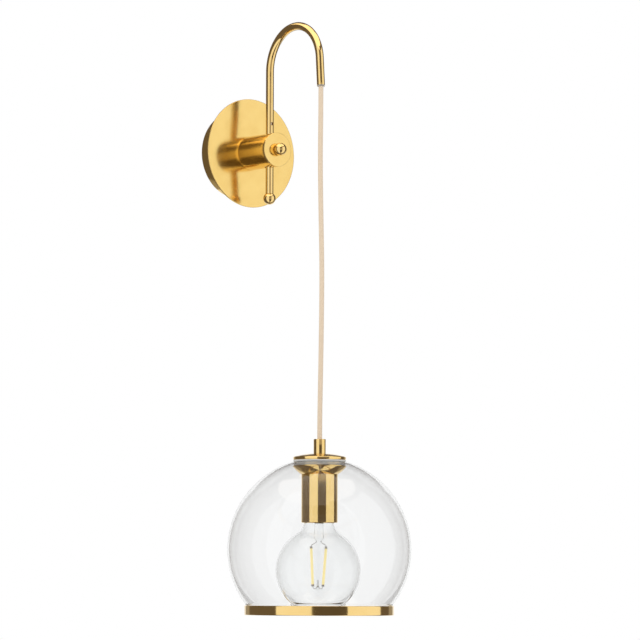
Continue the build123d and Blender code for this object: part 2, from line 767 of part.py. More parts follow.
pieces = {
    "wall_bracket": wall_bracket(),
    "canopy_drum": canopy_drum(),
    "canopy_plate": canopy_plate(),
    "canopy_screws": canopy_screws(),
    "earth_screw": earth_screw(),
    "earth_tag": earth_tag(),
    "terminal_block": terminal_block(),
    "terminal_screws": terminal_screws(),
    "live_core": canopy_core("live"),
    "neutral_core": canopy_core("neutral"),
    "earth_core": canopy_core("earth"),
    "stem_barrel": stem_barrel(),
    "stem_base_plug": stem_base_plug(),
    "stem_nipple": stem_nipple(),
    "nipple_washer": nipple_washer(),
    "nipple_nut": nipple_nut(),
    "upper_bush": guide_bush(1),
    "lower_bush": guide_bush(-1),
    "thumb_screw": thumb_screw(),
    "clamp_pad": clamp_pad(),
    "arm_tube": arm_tube(),
    "ball_finial": ball_finial(),
    "mouth_bush": mouth_bush(),
    "arm_cord": arm_cord(),
    "arm_cores": arm_cores(),
    "cord_neck": cord_neck(),
    "cord_drop": cord_drop(),
    "cord_grip": cord_grip(),
    "grip_screw": grip_screw(),
    "cord_end": cord_end(),
    "holder_cores": holder_cores(),
    "top_cap": top_cap(),
    "upper_gasket": upper_gasket(),
    "glass_shade": glass_shade(),
    "lower_gasket": lower_gasket(),
    "gallery_collar": gallery_collar(),
    "pendant_nipple": pendant_nipple(),
    "collar_nut": collar_nut(),
    "lampholder_cup": lampholder_cup(),
    "lampholder_insulator": lampholder_insulator(),
    "screw_shell": screw_shell(),
    "centre_contact": centre_contact(),
    "side_contact": side_contact(),
    "rim_ring": rim_ring(),
    "bulb_glass": bulb_glass(),
    "bulb_cap": bulb_cap(),
    "bulb_insulator": bulb_insulator(),
    "bulb_contact": bulb_contact(),
    "bulb_stem": bulb_stem(),
    "filaments": filaments(),
    "filament_leads": filament_leads(),
}

os.makedirs("parts", exist_ok=True)
for name, shape in pieces.items():
    if isinstance(shape, list):
        shape = Compound(children=[solid for one in shape for solid in one.solids()])
    export_step(shape, f"parts/{name}.step")
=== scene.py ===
"""Globe wall sconce: a swan-neck arm clamped in a stem, with a clear globe shade on a cord.

Outlines below are in millimetres and the scene is in metres.  The origin is on the wall, on the
stem's axis: +Z is up, +Y goes into the wall and +X is to the right as seen from the room.
"""
import math

import bmesh
import bpy
from bpy.props import FloatProperty, FloatVectorProperty, IntProperty, PointerProperty
from mathutils import Matrix, Vector


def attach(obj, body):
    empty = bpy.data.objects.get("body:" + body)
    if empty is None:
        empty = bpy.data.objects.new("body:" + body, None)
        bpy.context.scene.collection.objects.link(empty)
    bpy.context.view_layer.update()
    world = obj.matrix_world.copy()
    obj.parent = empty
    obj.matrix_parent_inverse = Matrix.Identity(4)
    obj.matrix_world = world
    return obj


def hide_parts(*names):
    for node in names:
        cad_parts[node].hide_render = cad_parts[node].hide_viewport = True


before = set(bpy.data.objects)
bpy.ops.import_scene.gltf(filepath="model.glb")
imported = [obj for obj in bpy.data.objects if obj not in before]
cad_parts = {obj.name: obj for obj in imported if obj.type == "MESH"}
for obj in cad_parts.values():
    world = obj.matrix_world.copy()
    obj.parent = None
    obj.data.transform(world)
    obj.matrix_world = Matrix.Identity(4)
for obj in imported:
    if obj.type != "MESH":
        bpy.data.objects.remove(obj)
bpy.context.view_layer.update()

bl_info = {
    "name": "Globe wall sconce",
    "version": (1, 0, 0),
    "blender": (4, 5, 0),
    "location": "3D View > Sidebar > Sconce",
    "description": "Builds a swan-neck wall sconce with a clear globe shade, piece by piece",
    "category": "Add Mesh",
}

MM = 0.001

# ---- places taken over from the CAD source, in millimetres --------------------------

CORD_Y = -156.3886
TUBE_Y = -63.0
CANOPY_DEPTH = 29.0
STEM_FACE = 78.0
MOUTH_HEIGHT = 66.0
NECK_HEIGHT = 65.2
GRIP_TOP = -332.5
CAP_TOP = -348.9
CAP_FOOT = -355.8
COLLAR_TOP = -361.8
CUP_TOP = -372.0
CUP_FOOT = -425.7
GLOBE_CENTRE = -455.7
GLOBE_RADIUS = 102.6
RIM_TOP = -518.0
RIM_FOOT = -528.7
THREAD_TOP = -389.5
THREAD_FOOT = -412.0
BULB_CENTRE = -478.9
BULB_LEAN = math.radians(0.9)
BEARING = math.radians(38.7)
VIEW_RIGHT = Vector((math.cos(BEARING), -math.sin(BEARING), 0))
TO_CAMERA = Vector((-math.sin(BEARING), -math.cos(BEARING), 0))

OUTWARD = Matrix.Rotation(math.radians(90), 4, "X")
ON_CORD = Matrix.Translation((0, CORD_Y * MM, 0))
ON_ARM = Matrix.Translation((0, TUBE_Y * MM, 0))
LEAN_POINT = Matrix.Translation((0, CORD_Y * MM, (THREAD_TOP + THREAD_FOOT) / 2 * MM))
LEANING = (LEAN_POINT @ Matrix.Rotation(BULB_LEAN, 4, Vector((math.sin(BEARING), math.cos(BEARING), 0)))
           @ LEAN_POINT.inverted() @ ON_CORD)


# ---- what a user may change ---------------------------------------------------------

class SconceSizes(bpy.types.PropertyGroup):
    """Sizes of the pieces that are made here."""

    turned_steps: IntProperty(name="Turned steps", description="Facets round a large turned piece",
                              default=160, min=24, max=512)
    cord_diameter: FloatProperty(name="Cord diameter", description="Outside diameter of the covered cord",
                                 default=0.0055, min=0.004, max=0.008, unit="LENGTH")
    glass_wall: FloatProperty(name="Glass wall", description="Thickness of the globe's glass",
                              default=0.002, min=0.0015, max=0.004, unit="LENGTH")
    bulb_wall: FloatProperty(name="Bulb wall", description="Thickness of the bulb's glass",
                             default=0.0008, min=0.0004, max=0.0012, unit="LENGTH")
    thread_pitch: FloatProperty(name="Thread pitch", description="Rise of the bulb's screw thread a turn",
                                default=0.00362, min=0.002, max=0.005, unit="LENGTH")
    thread_depth: FloatProperty(name="Thread depth", description="Depth of the rolled thread",
                                default=0.0008, min=0.0003, max=0.0012, unit="LENGTH")


class SconceColours(bpy.types.PropertyGroup):
    """Colours of the finishes."""

    polish: FloatVectorProperty(name="Polished brass", description="Polished, lacquered brass",
                                subtype="COLOR", default=(0.88, 0.64, 0.27), min=0, max=1)
    polish_shade: FloatVectorProperty(name="Polished brass shade",
                                      description="Darker patches of the polished brass",
                                      subtype="COLOR", default=(0.85, 0.605, 0.24), min=0, max=1)
    brass: FloatVectorProperty(name="Brass", description="Lacquered brass", subtype="COLOR",
                               default=(0.87, 0.62, 0.22), min=0, max=1)
    brass_shade: FloatVectorProperty(name="Brass, deeper", description="Deeper patches of the brass",
                                     subtype="COLOR", default=(0.84, 0.58, 0.195), min=0, max=1)
    cord: FloatVectorProperty(name="Cord", description="Covered cord", subtype="COLOR",
                              default=(0.85, 0.69, 0.51), min=0, max=1)
    # The second cord colour is painted shade: it darkens the grooves between the braid's threads.
    cord_groove_painted_shade: FloatVectorProperty(name="Cord, in the weave", description="Cord between its threads",
                                    subtype="COLOR", default=(0.71, 0.54, 0.385), min=0, max=1)
    glass: FloatVectorProperty(name="Glass", description="Clear glass of the globe", subtype="COLOR",
                               default=(0.965, 0.968, 0.968), min=0, max=1)
    # This colour is also used for the light sticks' painted glow.
    phosphor: FloatVectorProperty(name="Phosphor", description="Light sticks of the bulb", subtype="COLOR",
                                  default=(0.97, 0.81, 0.38), min=0, max=1)


class SconceStage(bpy.types.PropertyGroup):
    """Floor, camera and studio light."""

    floor: FloatVectorProperty(name="Floor", description="Colour of the floor", subtype="COLOR",
                               default=(0.82, 0.82, 0.82), min=0, max=1)
    floor_height: FloatProperty(name="Floor height", description="Height of the floor",
                                default=-0.95, max=-0.6, unit="LENGTH")
    camera_distance: FloatProperty(name="Camera distance", description="From the cord's axis to the camera",
                                   default=4.2, min=1, max=10, unit="LENGTH")
    camera_height: FloatProperty(name="Camera height", description="Height of the camera",
                                 default=-0.5, unit="LENGTH")
    lens: FloatProperty(name="Lens", description="Focal length in millimetres on a 36 mm sensor",
                        default=211.5, min=35, max=400)
    daylight: FloatProperty(name="Soft light", description="Level of the light from all round",
                            default=0.8, min=0, max=2)
    softbox: FloatProperty(name="Softbox level", description="Brightness of the two tall softboxes",
                           default=1.1, min=0, max=3)
    flags: FloatVectorProperty(name="Flags", description="Dark cards between and below the softboxes",
                               subtype="COLOR", default=(0.15, 0.125, 0.11), min=0, max=1)
    ceiling: FloatVectorProperty(name="Ceiling", description="Softbox overhead", subtype="COLOR",
                                 default=(1.0, 0.92, 0.84), min=0, max=1)
    ceiling_level: FloatProperty(name="Ceiling level", description="Brightness of the softbox overhead",
                                 default=1.7, min=0, max=3)


# ---- outlines -----------------------------------------------------------------------

def arc(centre, radius, start, end, steps):
    """Points of an arc, by its angles in degrees."""
    angles = [math.radians(start + (end - start) * i / steps) for i in range(steps + 1)]
    return [(centre[0] + radius * math.cos(a), centre[1] + radius * math.sin(a)) for a in angles]


def three_point_arc(start, through, end, steps=16):
    """Points of the arc that runs from start, through a point, to end."""
    (ax, ay), (bx, by), (cx, cy) = start, through, end
    d = 2 * (ax * (by - cy) + bx * (cy - ay) + cx * (ay - by))
    a2, b2, c2 = ax * ax + ay * ay, bx * bx + by * by, cx * cx + cy * cy
    ux = (a2 * (by - cy) + b2 * (cy - ay) + c2 * (ay - by)) / d
    uy = (a2 * (cx - bx) + b2 * (ax - cx) + c2 * (bx - ax)) / d
    angles = [math.degrees(math.atan2(y - uy, x - ux)) for x, y in (start, through, end)]
    turn = (angles[2] - angles[0]) % 360
    if (angles[1] - angles[0]) % 360 > turn:
        turn -= 360
    return arc((ux, uy), math.hypot(ax - ux, ay - uy), angles[0], angles[0] + turn, steps)


def rounded(corners, steps=4):
    """Closed outline in which each corner (radius, height, rounding) is rounded off."""
    points = []
    for i, (x, y, *rounding) in enumerate(corners):
        size = rounding[0] if rounding else 0
        if not size:
            points.append((x, y))
            continue
        here = Vector((x, y))
        back = (Vector(corners[i - 1][:2]) - here).normalized()
        ahead = (Vector(corners[(i + 1) % len(corners)][:2]) - here).normalized()
        half = back.angle(ahead) / 2
        centre = here + (back + ahead).normalized() * size / math.sin(half)
        start, end = here + back * size / math.tan(half), here + ahead * size / math.tan(half)
        sweep = (start - centre).angle_signed(end - centre)
        for k in range(steps + 1):
            spoke = (start - centre).copy()
            spoke.rotate(Matrix.Rotation(-sweep * k / steps, 2))
            points.append(tuple(centre + spoke))
    return points


# ---- meshes -------------------------------------------------------------------------

def turned(outline, steps, place=Matrix()):
    """Closed mesh turned about Z from (radius, height) points, then put in place."""
    bm = bmesh.new()
    turns = [2 * math.pi * k / steps for k in range(steps)]
    rings = []
    for radius, height in outline:
        spots = turns if radius > 1e-6 else [0]
        rings.append([bm.verts.new((radius * MM * math.cos(t), radius * MM * math.sin(t), height * MM))
                      for t in spots])
    for a, b in zip(rings, rings[1:] + rings[:1]):
        for k in range(steps):
            n = (k + 1) % steps
            corners = [a[k % len(a)], a[n % len(a)], b[n % len(b)], b[k % len(b)]]
            corners = [v for i, v in enumerate(corners) if v not in corners[:i]]
            if len(corners) > 2:
                bm.faces.new(corners)
    bmesh.ops.recalc_face_normals(bm, faces=bm.faces)
    bm.transform(place)
    return bm


def swept(spine, radius, steps, across=Vector((1, 0, 0))):
    """Grid of points round a spine that lies in one plane, which across stands square to."""
    rings = []
    for i, here in enumerate(spine):
        along = (spine[min(i + 1, len(spine) - 1)] - spine[max(i - 1, 0)]).normalized()
        up = along.cross(across).normalized()
        rings.append([here + radius * (math.cos(t) * across + math.sin(t) * up)
                      for t in (2 * math.pi * k / steps for k in range(steps))])
    return rings


def skin(bm, rings, closed=False):
    """Faces between rings of points, and the rings' vertices."""
    loops = [[bm.verts.new(p) for p in ring] for ring in rings]
    pairs = zip(loops, loops[1:] + loops[:1]) if closed else zip(loops, loops[1:])
    for a, b in pairs:
        for k in range(len(a)):
            n = (k + 1) % len(a)
            bm.faces.new((a[k], a[n], b[n], b[k]))
    return loops


def wire(bm, spine, radius, steps=12, across=Vector((1, 0, 0))):
    """Solid round wire with closed ends."""
    loops = skin(bm, swept(spine, radius, steps, across))
    bm.faces.new(loops[0][::-1])
    bm.faces.new(loops[-1])


def piece(name, bm, material, body, nodes=(), crease=35):
    """Object of a mesh, smooth but for its creases, on a CAD body and in place of CAD nodes."""
    mesh = bpy.data.meshes.new(name)
    bm.to_mesh(mesh)
    bm.free()
    thing = bpy.data.objects.new(name, mesh)
    bpy.context.scene.collection.objects.link(thing)
    mesh.materials.append(material)
    mesh.shade_smooth()
    mesh.set_sharp_from_angle(angle=math.radians(crease))
    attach(thing, body)
    if nodes:
        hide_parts(*nodes)
    return thing


def cut(bm, cutters):
    """Mesh less the cutters."""
    block = bpy.data.objects.new("blank", bpy.data.meshes.new("blank"))
    bm.to_mesh(block.data)
    bm.free()
    tools = []
    for tool in cutters:
        thing = bpy.data.objects.new("tool", bpy.data.meshes.new("tool"))
        tool.to_mesh(thing.data)
        tool.free()
        tools.append(thing)
        step = block.modifiers.new("cut", "BOOLEAN")
        step.object, step.operation, step.solver = thing, "DIFFERENCE", "EXACT"
    for thing in [block, *tools]:
        bpy.context.scene.collection.objects.link(thing)
    bpy.context.view_layer.update()
    made = bmesh.new()
    evaluated = block.evaluated_get(bpy.context.evaluated_depsgraph_get())
    made.from_mesh(bpy.data.meshes.new_from_object(evaluated))
    for thing in [block, *tools]:
        bpy.data.objects.remove(thing)
    return made


# ---- finishes -----------------------------------------------------------------------

def noise(tree, vector, scale, detail=3.0):
    """Noise node on a vector."""
    node = tree.nodes.new("ShaderNodeTexNoise")
    node.inputs["Scale"].default_value = scale
    node.inputs["Detail"].default_value = detail
    tree.links.new(vector, node.inputs["Vector"])
    return node.outputs["Fac"]


def spread(tree, value, low, high):
    """Noise spread over a range of numbers."""
    node = tree.nodes.new("ShaderNodeMapRange")
    node.inputs["From Min"].default_value, node.inputs["From Max"].default_value = 0.3, 0.7
    node.inputs["To Min"].default_value, node.inputs["To Max"].default_value = low, high
    tree.links.new(value, node.inputs["Value"])
    return node.outputs["Result"]


def tones(tree, value, first, second):
    """Noise turned into a drift between two colours."""
    node = tree.nodes.new("ShaderNodeValToRGB")
    for stop, colour, place in zip(node.color_ramp.elements, (first, second), (0.35, 0.65)):
        stop.position, stop.color = place, (*colour[:3], 1)
    tree.links.new(value, node.inputs["Fac"])
    return node.outputs["Color"]


def relief(tree, height, strength, distance):
    """Bump of a height, in metres."""
    node = tree.nodes.new("ShaderNodeBump")
    node.inputs["Strength"].default_value = strength
    node.inputs["Distance"].default_value = distance
    tree.links.new(height, node.inputs["Height"])
    return node.outputs["Normal"]


def finish(name, first, second, rough, patch=60.0, grain=1500.0, depth=0.00002, strength=0.2,
           stretch=(1, 1, 1), **sockets):
    """Material whose colour and gloss drift in patches, with a fine grain on its surface."""
    if name in bpy.data.materials and "sconce" in bpy.data.materials[name]:
        return bpy.data.materials[name]
    material = bpy.data.materials.new(name)
    material["sconce"] = True
    material.use_nodes = True
    tree = material.node_tree
    shader = tree.nodes["Principled BSDF"]
    where = tree.nodes.new("ShaderNodeTexCoord").outputs["Object"]
    drawn = tree.nodes.new("ShaderNodeMapping")
    drawn.inputs["Scale"].default_value = stretch
    tree.links.new(where, drawn.inputs["Vector"])
    patches = noise(tree, where, patch)
    lines = noise(tree, drawn.outputs["Vector"], grain, 2.0)
    tree.links.new(tones(tree, patches, first, second), shader.inputs["Base Color"])
    tree.links.new(spread(tree, noise(tree, where, patch * 1.7), *rough), shader.inputs["Roughness"])
    tree.links.new(relief(tree, lines, strength, depth), shader.inputs["Normal"])
    for socket, value in sockets.items():
        shader.inputs[socket.replace("_", " ")].default_value = value
    return material


def polished_brass():
    """Polished, lacquered brass."""
    colours = bpy.context.scene.sconce_colours
    return finish("polished brass", colours.polish, colours.polish_shade, (0.07, 0.12), grain=700,
                  depth=0.000004, Metallic=1)


def satin_brass():
    """Fine satin brass."""
    colours = bpy.context.scene.sconce_colours
    return finish("satin brass", colours.brass, colours.brass_shade, (0.13, 0.18), grain=2500,
                  depth=0.000003, Metallic=1)


def steel():
    """Zinc-plated steel."""
    return finish("zinc-plated steel", (0.55, 0.56, 0.57), (0.47, 0.48, 0.5), (0.3, 0.45), patch=120,
                  grain=2500, depth=0.00001, Metallic=1)


def clear_glass():
    """Clear blown glass, with a slight waviness."""
    glass = bpy.context.scene.sconce_colours.glass
    return finish("clear blown glass", glass, [c * 0.995 for c in glass], (0.0, 0.004), patch=12, grain=16,
                  depth=0.002, strength=0.012, Transmission_Weight=1, IOR=1.27)


def bulb_clear():
    """Thin clear glass of the bulb."""
    return finish("thin bulb glass", (0.99, 0.995, 0.995), (0.98, 0.985, 0.985), (0.0, 0.004), patch=30,
                  grain=45, depth=0.001, strength=0.008, Transmission_Weight=1, IOR=1.24)


def phosphor():
    """Yellow phosphor coat of the light sticks, with a painted glow that stands in for the light the glass keeps
    off them.
    """
    yellow = bpy.context.scene.sconce_colours.phosphor
    # The emission is a painted glow: the bulb is not lit, and the glow brightens the sticks where the glass shuts
    # out the light.
    return finish("yellow phosphor", yellow, [c * 0.88 for c in yellow], (0.5, 0.65), patch=300, grain=4000,
                  depth=0.00002, Emission_Color=(*yellow, 1), Emission_Strength=0.5)


def bare_wire():
    """Bare nickel wire."""
    return finish("bare wire", (0.6, 0.58, 0.54), (0.5, 0.48, 0.45), (0.25, 0.4), patch=200, grain=4000,
                  depth=0.000005, Metallic=1)


# ---- studio -------------------------------------------------------------------------

def seen_through(tree, shader):
    """Let a card show only in reflections: what is seen straight through glass passes it."""
    path = tree.nodes.new("ShaderNodeLightPath")
    mirrored = tree.nodes.new("ShaderNodeMath")
    mirrored.operation = "LESS_THAN"
    mirrored.inputs[1].default_value = 0.5
    tree.links.new(path.outputs["Glossy Depth"], mirrored.inputs[0])
    straight = tree.nodes.new("ShaderNodeMath")
    straight.operation = "MULTIPLY"
    tree.links.new(path.outputs["Is Transmission Ray"], straight.inputs[0])
    tree.links.new(mirrored.outputs["Value"], straight.inputs[1])
    mix = tree.nodes.new("ShaderNodeMixShader")
    tree.links.new(straight.outputs["Value"], mix.inputs["Fac"])
    tree.links.new(shader, mix.inputs[1])
    tree.links.new(tree.nodes.new("ShaderNodeBsdfTransparent").outputs["BSDF"], mix.inputs[2])
    tree.links.new(mix.outputs["Shader"], tree.nodes["Material Output"].inputs["Surface"])


def card_material(name, colour, level=1.0):
    """Evenly lit card."""
    material = bpy.data.materials.new(name)
    material.use_nodes = True
    tree = material.node_tree
    tree.nodes.remove(tree.nodes["Principled BSDF"])
    glow = tree.nodes.new("ShaderNodeEmission")
    glow.inputs["Color"].default_value = (*colour, 1)
    glow.inputs["Strength"].default_value = level
    seen_through(tree, glow.outputs["Emission"])
    return material


# Bearings of the two softboxes from the camera, to the right, and the heights of the studio in metres.
SOFTBOXES = ((-66.0, -10.5), (42.0, 104.0))
SIDE, BACKDROP = 130.0, 150.0
STUDIO_RADIUS = 0.75
STUDIO_FOOT, BACKDROP_TOP, SOFTBOX_TOP, STUDIO_TOP = -0.96, -0.1, 0.58, 1.6
BLACK_TOP, GREY_TOP, FLAG_TOP = -0.28, 0.2, 0.8
# Bearing from which the overhead softbox stops above the flags, and the tones of the side and front cards.
FLAG_FROM = 20
GREY_SIDE, GREY_FRONT, BLACK_FLAG_SHARE = (0.36, 0.34, 0.32), (0.45, 0.41, 0.38), 0.78


class SCONCE_OT_stage(bpy.types.Operator):
    """Camera at the photograph's angle, pale floor, soft light, two softboxes and dark cards"""

    bl_idname = "sconce.stage"
    bl_label = "Stage, camera and light"

    def execute(self, context):
        stage = context.scene.sconce_stage
        self.set_camera(context, stage)
        self.set_world(context, stage)
        self.set_floor(context, stage)
        self.set_cards(context, stage)
        self.set_lamps(context)
        context.scene.view_settings.view_transform = "Standard"
        return {"FINISHED"}

    def set_camera(self, context, stage):
        axis = Vector((0, CORD_Y * MM, 0))
        data = bpy.data.cameras.new("camera")
        data.lens, data.sensor_width = stage.lens, 36
        camera = bpy.data.objects.new("camera", data)
        place = axis + TO_CAMERA * stage.camera_distance + Vector((0, 0, stage.camera_height))
        aim = axis + Vector((0, 0, -0.199)) - VIEW_RIGHT * 0.00015
        look = (aim - place).to_track_quat("-Z", "Y").to_matrix().to_4x4()
        camera.matrix_world = Matrix.Translation(place) @ look @ Matrix.Rotation(math.radians(0.2), 4, "Z")
        context.scene.collection.objects.link(camera)
        context.scene.camera = camera

    def set_world(self, context, stage):
        world = bpy.data.worlds.new("studio")
        world.use_nodes = True
        context.scene.world = world
        tree = world.node_tree
        soft = tree.nodes["Background"]
        soft.inputs["Color"].default_value = (1, 1, 1, 1)
        soft.inputs["Strength"].default_value = stage.daylight
        white = tree.nodes.new("ShaderNodeBackground")
        white.inputs["Color"].default_value = (1, 1, 1, 1)
        path = tree.nodes.new("ShaderNodeLightPath")
        seen = path.outputs["Is Camera Ray"]
        for other in ("Is Glossy Ray", "Is Transmission Ray"):
            either = tree.nodes.new("ShaderNodeMath")
            either.operation = "MAXIMUM"
            tree.links.new(seen, either.inputs[0])
            tree.links.new(path.outputs[other], either.inputs[1])
            seen = either.outputs["Value"]
        mix = tree.nodes.new("ShaderNodeMixShader")
        tree.links.new(seen, mix.inputs["Fac"])
        tree.links.new(soft.outputs["Background"], mix.inputs[1])
        tree.links.new(white.outputs["Background"], mix.inputs[2])
        tree.links.new(mix.outputs["Shader"], tree.nodes["World Output"].inputs["Surface"])

    def set_floor(self, context, stage):
        bm = bmesh.new()
        bmesh.ops.create_circle(bm, cap_ends=True, segments=96, radius=12)
        bm.transform(Matrix.Translation((0, 0, stage.floor_height)))
        mesh = bpy.data.meshes.new("floor")
        bm.to_mesh(mesh)
        bm.free()
        pale = [c * 0.96 for c in stage.floor]
        mesh.materials.append(finish("pale floor", stage.floor, pale, (0.7, 0.85), patch=3, grain=60,
                                     depth=0.0005))
        floor = bpy.data.objects.new("floor", mesh)
        context.scene.collection.objects.link(floor)
        floor.visible_glossy = False
        self.hide_in_reflections(mesh.materials[0].node_tree)

    def hide_in_reflections(self, tree):
        """Let rays that have been mirrored once pass the floor, as metal seen in a white studio."""
        mix = tree.nodes.new("ShaderNodeMixShader")
        tree.links.new(tree.nodes.new("ShaderNodeLightPath").outputs["Glossy Depth"], mix.inputs["Fac"])
        tree.links.new(tree.nodes["Principled BSDF"].outputs["BSDF"], mix.inputs[1])
        tree.links.new(tree.nodes.new("ShaderNodeBsdfTransparent").outputs["BSDF"], mix.inputs[2])
        tree.links.new(mix.outputs["Shader"], tree.nodes["Material Output"].inputs["Surface"])

    def set_cards(self, context, stage):
        """Round studio about the cord: tall softboxes, flags, an overhead softbox and a low open back."""
        bearings = sorted({b for pair in SOFTBOXES for b in pair} | set(range(-180, 181, 10)))
        axis = Vector((0, CORD_Y * MM, 0))
        bm = bmesh.new()

        def spot(bearing, radius, height):
            b = math.radians(bearing)
            return bm.verts.new(axis + (TO_CAMERA * math.cos(b) + VIEW_RIGHT * math.sin(b)) * radius
                                + Vector((0, 0, height)))

        for west, east in zip(bearings, bearings[1:]):
            # Cards: 0 dark flag, 1 softbox, 2 overhead softbox, 3 grey side, 4 black front flag, 5 grey front.
            lit = any(a <= west and east <= b for a, b in SOFTBOXES)
            front = SOFTBOXES[0][1] <= west and east <= SOFTBOXES[1][0]
            open_back = max(abs(west), abs(east)) > BACKDROP
            behind, aside = max(abs(west), abs(east)) > SIDE, west >= FLAG_FROM
            side = 3 if behind else 1 if lit else 4 if front else 0
            rim, top = STUDIO_RADIUS, BACKDROP_TOP if behind else SOFTBOX_TOP
            quads = [(0 if behind else side, (0.001, STUDIO_FOOT), (rim, STUDIO_FOOT)),
                     (0 if behind or aside else 2, (rim, top), (rim, FLAG_TOP)),
                     (0 if behind else 2, (rim, FLAG_TOP), (rim, STUDIO_TOP)),
                     (2, (rim, STUDIO_TOP), (0.001, STUDIO_TOP))]
            if front:
                quads += [(4, (rim, STUDIO_FOOT), (rim, BLACK_TOP)), (5, (rim, BLACK_TOP), (rim, GREY_TOP)),
                          (0, (rim, GREY_TOP), (rim, top))]
            elif not open_back:
                quads.append((side, (rim, STUDIO_FOOT), (rim, top)))
            for card, low, high in quads:
                face = bm.faces.new([spot(west, *low), spot(east, *low),
                                     spot(east, *high), spot(west, *high)])
                face.material_index = card
        mesh = bpy.data.meshes.new("cards")
        bm.to_mesh(mesh)
        bm.free()
        mesh.materials.append(card_material("dark flag", stage.flags))
        mesh.materials.append(card_material("softbox", (1, 1, 1), stage.softbox))
        mesh.materials.append(card_material("overhead softbox", stage.ceiling, stage.ceiling_level))
        mesh.materials.append(card_material("grey side", GREY_SIDE))
        mesh.materials.append(card_material("black front flag", [c * BLACK_FLAG_SHARE for c in stage.flags]))
        mesh.materials.append(card_material("grey front card", GREY_FRONT))
        cards = bpy.data.objects.new("cards", mesh)
        context.scene.collection.objects.link(cards)
        cards.visible_camera = cards.visible_diffuse = cards.visible_shadow = False

    def set_lamps(self, context):
        for name, bearing, height, power, size in (("key", -40, 1.6, 26, 1.6), ("fill", 70, 0.6, 14, 1.8)):
            data = bpy.data.lights.new(name, "AREA")
            data.energy, data.size = power, size
            lamp = bpy.data.objects.new(name, data)
            b = math.radians(bearing)
            place = (TO_CAMERA * math.cos(b) + VIEW_RIGHT * math.sin(b)) * 3 + Vector((0, -0.1, height))
            look = (Vector((0, -0.1, -0.2)) - place).to_track_quat("-Z", "Y").to_matrix().to_4x4()
            lamp.matrix_world = Matrix.Translation(place) @ look
            lamp.visible_glossy = lamp.visible_transmission = False
            context.scene.collection.objects.link(lamp)


# ---- cord ---------------------------------------------------------------------------

# Height and sideways set of the hanging cord, as the CAD source has them.
CORD_BOW = ((NECK_HEIGHT, 0.0), (30.0, 0.0), (-15.0, -0.5), (-75.0, 0.4), (-140.0, 1.9), (-205.0, 1.5),
            (-265.0, 0.7), (-303.0, 0.0), (GRIP_TOP, 0.0))


class SCONCE_OT_cord(bpy.types.Operator):
    """Free cord from the arm's mouth down to the grip"""

    bl_idname = "sconce.cord"
    bl_label = "Cord"

    def execute(self, context):
        diameter = context.scene.sconce_sizes.cord_diameter
        curve = bpy.data.curves.new("pendant_cord", "CURVE")
        curve.dimensions = "3D"
        curve.bevel_depth, curve.bevel_resolution, curve.resolution_u = diameter / 2, 8, 24
        curve.use_fill_caps = True
        spline = curve.splines.new("NURBS")
        spline.points.add(len(CORD_BOW) - 1)
        right = Vector((0.780, -0.625, 0))
        for point, (height, aside) in zip(spline.points, CORD_BOW):
            point.co = (*(MM * (right * aside + Vector((0, CORD_Y, height)))), 1)
        spline.order_u = 3
        spline.use_endpoint_u = True
        cord = bpy.data.objects.new("pendant_cord", curve)
        context.scene.collection.objects.link(cord)
        curve.materials.append(cord_cover())
        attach(cord, "cord")
        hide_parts("cord_drop", "cord_neck")
        return {"FINISHED"}


def cord_cover():
    """Beige covered cord: a fine braid of threads that cross, with painted shade darkening the grooves between the
    threads.
    """
    colours = bpy.context.scene.sconce_colours
    material = finish("covered cord", colours.cord, colours.cord_groove_painted_shade, (0.6, 0.8), patch=90, grain=5000,
                      depth=0.00003, Sheen_Weight=0.3, Sheen_Roughness=0.5)
    tree = material.node_tree
    if "braid" in tree.nodes:
        return material
    where = next(n for n in tree.nodes if n.type == "TEX_COORD").outputs["Object"]
    threads = []
    for lean in (42, -42):
        mapping = tree.nodes.new("ShaderNodeMapping")
        mapping.inputs["Rotation"].default_value = (0, math.radians(lean), BEARING)
        tree.links.new(where, mapping.inputs["Vector"])
        wave = tree.nodes.new("ShaderNodeTexWave")
        wave.bands_direction = "Z"
        wave.inputs["Scale"].default_value = 420
        wave.inputs["Distortion"].default_value = 0.6
        tree.links.new(mapping.outputs["Vector"], wave.inputs["Vector"])
        threads.append(wave.outputs["Fac"])
    braid = tree.nodes.new("ShaderNodeMath")
    braid.name, braid.operation = "braid", "MAXIMUM"
    for k, thread in enumerate(threads):
        tree.links.new(thread, braid.inputs[k])
    shader = tree.nodes["Principled BSDF"]
    # The braid's valleys take the darker colour, as painted shade in the grooves between the threads.
    braid_with_painted_shade = tones(tree, braid.outputs["Value"], colours.cord_groove_painted_shade, colours.cord)
    tree.links.new(braid_with_painted_shade, shader.inputs["Base Color"])
    tree.links.new(relief(tree, braid.outputs["Value"], 0.6, 0.0002), shader.inputs["Normal"])
    return material


# ---- wall side ----------------------------------------------------------------------

class SCONCE_OT_canopy(bpy.types.Operator):
    """Round front plate and the drum behind it"""

    bl_idname = "sconce.canopy"
    bl_label = "Canopy"

    def execute(self, context):
        sizes = context.scene.sconce_sizes
        back = CANOPY_DEPTH - 2
        plate = rounded([(5.05, back), (62.5, back, 0.4), (62.5, CANOPY_DEPTH, 0.6),
                         (5.05, CANOPY_DEPTH, 0.2)], 6)
        piece("canopy_front_plate", turned(plate, sizes.turned_steps, OUTWARD), satin_brass(), "wall_fitting",
              ["canopy_plate"])
        drum = rounded([(5.05, back - 1.2), (48.6, back - 1.2, 0.8), (48.6, 0.9), (48.6, 0, 0.3),
                        (49.8, 0, 0.3), (49.8, back, 1.2), (5.05, back)], 5)
        shell = turned(drum, sizes.turned_steps, OUTWARD)
        holes = [turned([(0, s * 45), (2.2, s * 45), (2.2, s * 55), (0, s * 55)], 32,
                        Matrix.Translation((0, -0.009, 0)))
                 for s in (1, -1)]
        piece("canopy_back_drum", cut(shell, holes), satin_brass(), "wall_fitting", ["canopy_drum"])
        return {"FINISHED"}


